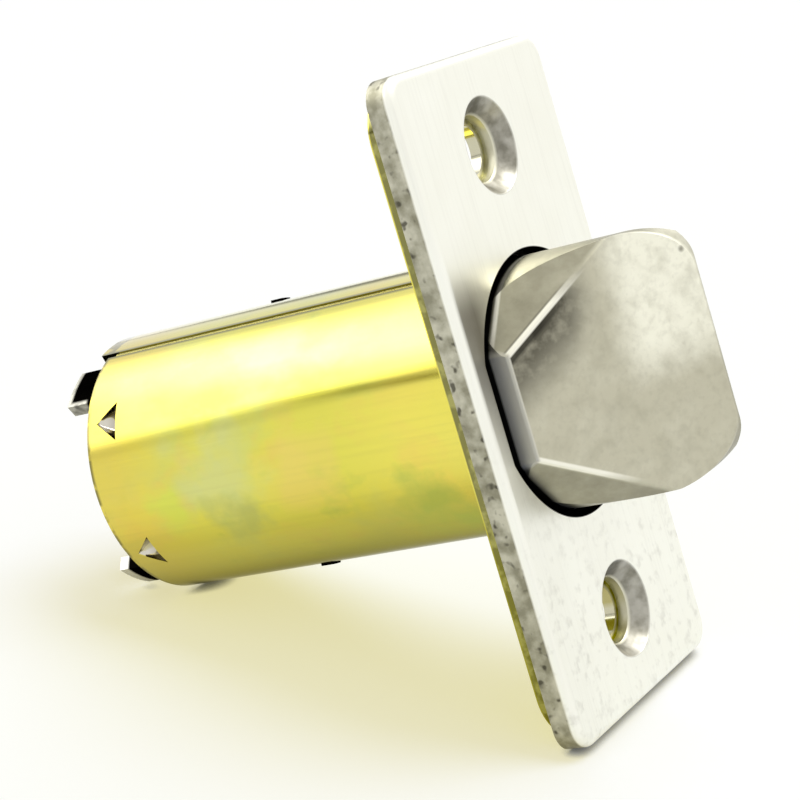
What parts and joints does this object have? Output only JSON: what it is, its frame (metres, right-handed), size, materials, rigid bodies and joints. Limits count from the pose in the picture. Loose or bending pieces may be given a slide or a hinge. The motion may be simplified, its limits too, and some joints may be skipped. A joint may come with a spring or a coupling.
{
  "type": "door latch",
  "caption": "Tubular spring latch for a bored door lock: slanted bolt in a round barrel behind a screw-on face plate, with a T-headed tail bar that pulls the bolt in.",
  "frame": {"origin": "centre of the plates' back face, midway between the screw holes, where the latch seats in the door's edge", "axes": "+X along the barrel towards the bolt's nose, +Z along the long side of the face plate, bolt's slanted side towards -Y"},
  "size_m": [0.0607, 0.027, 0.0572],
  "materials": {
    "satin_stainless": "satin",
    "yellow_zinc": "yellow zinc plated, satin",
    "cast_stainless": "fine satin",
    "dark_steel": "black oxide",
    "spring_steel": "drawn wire"
  },
  "bodies": {
    "housing": {"face_plate": "satin_stainless", "mounting_plate": "yellow_zinc", "barrel": "yellow_zinc", "stop_plate": "dark_steel", "end_cap": "dark_steel", "bolt_spring": "spring_steel"},
    "bolt": {"latch_bolt": "cast_stainless", "bolt_pin": "spring_steel", "tail_bar": "dark_steel"}
  },
  "joints": [
    {"name": "bolt_slide", "type": "slide", "parent": "housing", "child": "bolt", "axis": [-1, 0, 0], "range_m": [0, 0.0127], "stiffness_N_per_m": 400, "springref_m": -0.012, "deforming": ["bolt_spring"]}
  ]
}
